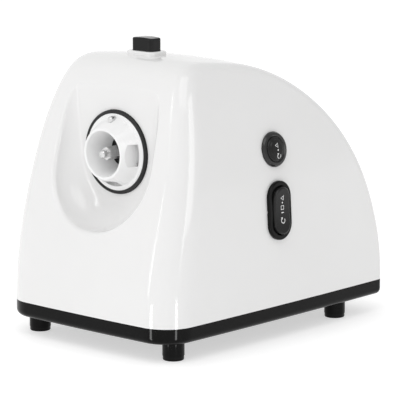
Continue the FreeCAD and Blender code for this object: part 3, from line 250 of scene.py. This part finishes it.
def floor_paper(name):
    """Matt white studio paper, lit a little from within so that it stays white."""
    g = Graph(name)
    colour = g.ramp(g.noise(3.0, 2.0), (0.3, grey(0.6)), (0.7, grey(0.62)))
    gloss = g.span(g.noise(8.0), 0.6, 0.75)
    skin = g.bump(g.noise(900.0), 0.05, 0.05 * MM)
    return g.finish(colour, gloss, skin, Specular_IOR_Level=0.2, Emission_Color=(1, 1, 1, 1),
                    Emission_Strength=0.56)


FINISHES = {
    "white_gloss": moulded("white_gloss", grey(0.79, 0.004), grey(0.81, 0.002), 0.12, 900.0, 0.05),
    "socket_white": moulded("socket_white", grey(0.85), grey(0.88), 0.3, 1400.0, 0.12),
    "black_gloss": moulded("black_gloss", grey(0.001), grey(0.003), 0.08, 900.0, 0.05,
                           Specular_IOR_Level=0.12),
    "black_satin": moulded("black_satin", grey(0.008), grey(0.012), 0.26, 1800.0, 0.2,
                           Specular_IOR_Level=0.25),
    "black_matte": moulded("black_matte", grey(0.012), grey(0.02), 0.5, 2200.0, 0.4),
    "black_rubber": rubber("black_rubber", 0.01, 1600.0),
    "bright_steel": machined("bright_steel", 0.55, 0.72, 0.22, 6.0),
    "screw_steel": machined("screw_steel", 0.42, 0.6, 0.3, 3.0, 0.03),
    "core_steel": laminated("core_steel"),
    "gear_steel": machined("gear_steel", 0.34, 0.5, 0.28, 9.0),
    "nylon": moulded("nylon", grey(0.55, 0.05), grey(0.64, 0.04), 0.38, 700.0, 0.15,
                     Subsurface_Weight=0.15, Subsurface_Scale=0.002),
    "cast_alloy": cast("cast_alloy"),
    "bronze": machined("bronze", 0.4, 0.55, 0.3, 5.0, 0.35),
    "copper": wound("copper"),
    "carbon": rubber("carbon", 0.03, 2400.0),
    "terminal_plastic": moulded("terminal_plastic", grey(0.5, 0.03), grey(0.58, 0.03), 0.35,
                                900.0, 0.1),
    "capacitor_yellow": moulded("capacitor_yellow", (0.62, 0.42, 0.05), (0.7, 0.5, 0.08), 0.3,
                                900.0, 0.1),
    "wire_brown": sleeve("wire_brown", (0.09, 0.03, 0.012), (0.13, 0.05, 0.02)),
    "wire_blue": sleeve("wire_blue", (0.01, 0.06, 0.3), (0.02, 0.09, 0.4)),
    "fan_grey": moulded("fan_grey", grey(0.16), grey(0.2), 0.42, 1100.0, 0.2),
}

# Pieces that look glossier or duller than the rest of their slot.
NODE_FINISHES = {
    "lock_button": moulded("lock_gloss", grey(0.005), grey(0.007), 0.1, 900.0, 0.05,
                           Specular_IOR_Level=0.22),
    "reverse_bezel": moulded("reverse_bezel_gloss", grey(0.013), grey(0.018), 0.2, 1200.0, 0.08,
                             Specular_IOR_Level=0.45),
    "rocker_bezel": moulded("rocker_bezel_gloss", grey(0.004), grey(0.006), 0.22, 1200.0, 0.08,
                            Specular_IOR_Level=0.13),
    "foot_pads": moulded("foot_gloss", grey(0.002), grey(0.004), 0.14, 1500.0, 0.1,
                         Specular_IOR_Level=0.14),
}

INK = printed("print_white")


def paint_nodes():
    for name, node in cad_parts.items():
        for holder in node.material_slots:
            finish = NODE_FINISHES.get(name) or FINISHES[holder.material.name]
            holder.link = "OBJECT"
            holder.material = finish


# ---------------------------------------------------------------- printed signs

def arc_band(centre, outer, inner, sides, start=90.0, sweep=360.0, stretch=1.0):
    """Ring, or part of one, as pairs of outer and inner points, and whether it is closed.

    Points are (Y, Z). Three sides give a triangle, and stretch widens the band along Y.
    """
    pairs = []
    for i in range(sides + (sweep < 360.0)):
        angle = math.radians(start + sweep * i / sides)
        across = Vector((math.cos(angle) * stretch, math.sin(angle)))
        pairs.append((centre + across * outer, centre + across * inner))
    return pairs, sweep >= 360.0


def subdivided(pairs, closed, parts=4):
    """The same band with each side cut into shorter lengths, so that it follows a curved face."""
    finer = []
    last = len(pairs) if closed else len(pairs) - 1
    for i in range(last):
        here = pairs[i]
        there = pairs[(i + 1) % len(pairs)]
        for k in range(parts):
            finer.append(tuple(a.lerp(b, k / parts) for a, b in zip(here, there)))
    if not closed:
        finer.append(pairs[-1])
    return finer, closed


def add_band(mesh, top, foot, closed):
    """Faces of a thin band between its upper and lower pairs of corners."""
    count = len(top)
    for i in range(count if closed else count - 1):
        j = (i + 1) % count
        mesh.faces.new((top[i][0], top[i][1], top[j][1], top[j][0]))
        mesh.faces.new((foot[i][0], foot[j][0], foot[j][1], foot[i][1]))
        mesh.faces.new((top[i][0], top[j][0], foot[j][0], foot[i][0]))
        mesh.faces.new((top[i][1], foot[i][1], foot[j][1], top[j][1]))
    if not closed:
        for i in (0, count - 1):
            mesh.faces.new((top[i][0], foot[i][0], foot[i][1], top[i][1]))


def print_signs(name, node, bands):
    """Thin printed bands on the node's outer face, which looks along +X; its body has its name."""
    graph = bpy.context.evaluated_depsgraph_get()
    surface = BVHTree.FromObject(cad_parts[node], graph)
    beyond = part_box(node)[1].x + 5 * MM
    mesh = bmesh.new()

    def laid(point, lift):
        hit, normal, _, _ = surface.ray_cast(Vector((beyond, point.x, point.y)), Vector((-1, 0, 0)))
        return mesh.verts.new(hit + normal * lift)

    for pairs, closed in bands:
        pairs, closed = subdivided(pairs, closed)
        top = [[laid(p, INK_ABOVE) for p in pair] for pair in pairs]
        foot = [[laid(p, -INK_BELOW) for p in pair] for pair in pairs]
        add_band(mesh, top, foot, closed)
    bmesh.ops.recalc_face_normals(mesh, faces=mesh.faces)
    data = bpy.data.meshes.new(name)
    mesh.to_mesh(data)
    mesh.free()
    piece = bpy.data.objects.new(name, data)
    bpy.context.scene.collection.objects.link(piece)
    data.materials.append(INK)
    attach(piece, node)


def beside_middle(node, y, z):
    """Point (Y, Z) of the node's outer face, in millimetres from its middle."""
    low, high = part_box(node)
    middle = (low + high) / 2
    return Vector((middle.y + y * MM, middle.z + z * MM))


def triangle(centre, size, hole):
    return arc_band(centre, size, hole, 3, start=180.0)


def dot(centre):
    return arc_band(centre, 0.6 * MM, PINHOLE, 12)


def square(centre):
    return arc_band(centre, 2.2 * MM, 1.65 * MM, 4, start=45.0)


def bar(centre):
    return arc_band(centre, 0.5 * MM, PINHOLE, 4, start=45.0, stretch=3.6)


def reverse_arrow(centre, size):
    """Three quarters of a ring with an arrow head, the usual sign for reverse."""
    start = 120.0
    turn = math.radians(start)
    ring = arc_band(centre, size, size * 0.74, 20, start=start, sweep=270.0)
    tip = centre + Vector((math.cos(turn), math.sin(turn))) * size * 0.87
    return [ring, arc_band(tip, size * 0.5, size * 0.02, 3, start=start - 90.0)]


def rocker_signs():
    bands = [
        triangle(beside_middle("rocker", 0, 9.4), 2.2 * MM, 1.5 * MM),
        dot(beside_middle("rocker", 0, 6.0)),
        square(beside_middle("rocker", 0, 2.4)),
        bar(beside_middle("rocker", 0, -1.2)),
        *reverse_arrow(beside_middle("rocker", 0, -6.8), 2.2 * MM),
    ]
    print_signs("rocker_print", "rocker", bands)


def reverse_signs():
    bands = [
        triangle(beside_middle("reverse_button", -0.6, 4.2), 2.0 * MM, 1.35 * MM),
        dot(beside_middle("reverse_button", 0, 0.9)),
        *reverse_arrow(beside_middle("reverse_button", 0.6, -3.4), 2.0 * MM),
    ]
    print_signs("reverse_print", "reverse_button", bands)


# ---------------------------------------------------------------- studio

def make_floor():
    mesh = bmesh.new()
    bmesh.ops.create_grid(mesh, x_segments=8, y_segments=8, size=FLOOR_HALF)
    data = bpy.data.meshes.new("floor")
    mesh.to_mesh(data)
    mesh.free()
    floor = bpy.data.objects.new("floor", data)
    bpy.context.scene.collection.objects.link(floor)
    data.materials.append(floor_paper("floor_paper"))
    floor.location.z = cad_low.z


def direction(azimuth, elevation):
    """Unit vector towards a place seen from the object: azimuth 0 is -Y, 90 is +X."""
    a, e = math.radians(azimuth), math.radians(elevation)
    return Vector((math.sin(a) * math.cos(e), -math.cos(a) * math.cos(e), math.sin(e)))


def area_light(name, values, target, shine_only):
    """A soft light that faces the target and isn't seen itself."""
    azimuth, elevation, distance, width, height, power = values
    light = bpy.data.lights.new(name, "AREA")
    light.shape = "RECTANGLE"
    light.size = width
    light.size_y = height
    light.energy = power
    lamp = bpy.data.objects.new(name, light)
    bpy.context.scene.collection.objects.link(lamp)
    away = direction(azimuth, elevation)
    lamp.location = target + away * distance
    lamp.rotation_euler = away.to_track_quat("Z", "Y").to_euler()
    lamp.visible_diffuse = not shine_only
    lamp.visible_camera = False


def make_world():
    """White round the front and left, greyer overhead and towards the right and rear."""
    world = bpy.data.worlds.new("studio")
    world.use_nodes = True
    tree = world.node_tree
    nodes, links = tree.nodes, tree.links
    place = nodes.new("ShaderNodeTexCoord")
    towards = nodes.new("ShaderNodeVectorMath")
    towards.operation = "DOT_PRODUCT"
    towards.inputs[1].default_value = SHADE_TOWARDS
    ramp = nodes.new("ShaderNodeValToRGB")
    links.new(place.outputs["Generated"], towards.inputs[0])
    links.new(towards.outputs["Value"], ramp.inputs["Fac"])
    white, shade = ramp.color_ramp.elements
    white.position = 0.0
    white.color = (1, 1, 1, 1)
    shade.position = SHADE_FULL_AT
    shade.color = (*grey(SHADE_LEVEL), 1)
    links.new(ramp.outputs["Color"], nodes["Background"].inputs["Color"])
    nodes["Background"].inputs["Strength"].default_value = 1.0
    bpy.context.scene.world = world
    bpy.context.scene.view_settings.view_transform = "Standard"


def make_lights():
    area_light("key", KEY_LIGHT, CENTRE, shine_only=False)
    for name, values in FAR_SHINES.items():
        area_light(name, values, CENTRE, shine_only=True)
    for name, values in CORNER_SHINES.items():
        area_light(name, values, CORNER, shine_only=True)


def make_camera():
    lens = bpy.data.cameras.new("camera")
    lens.lens = CAMERA_LENS
    lens.sensor_width = CAMERA_SENSOR
    lens.clip_start = 0.05
    lens.clip_end = 30.0
    camera = bpy.data.objects.new("camera", lens)
    bpy.context.scene.collection.objects.link(camera)
    back = direction(CAMERA_AZIMUTH, CAMERA_ELEVATION)
    camera.location = CAMERA_AIM + back * CAMERA_DISTANCE
    camera.rotation_euler = back.to_track_quat("Z", "Y").to_euler()
    bpy.context.scene.camera = camera


paint_nodes()
rocker_signs()
reverse_signs()
make_floor()
make_world()
make_lights()
make_camera()
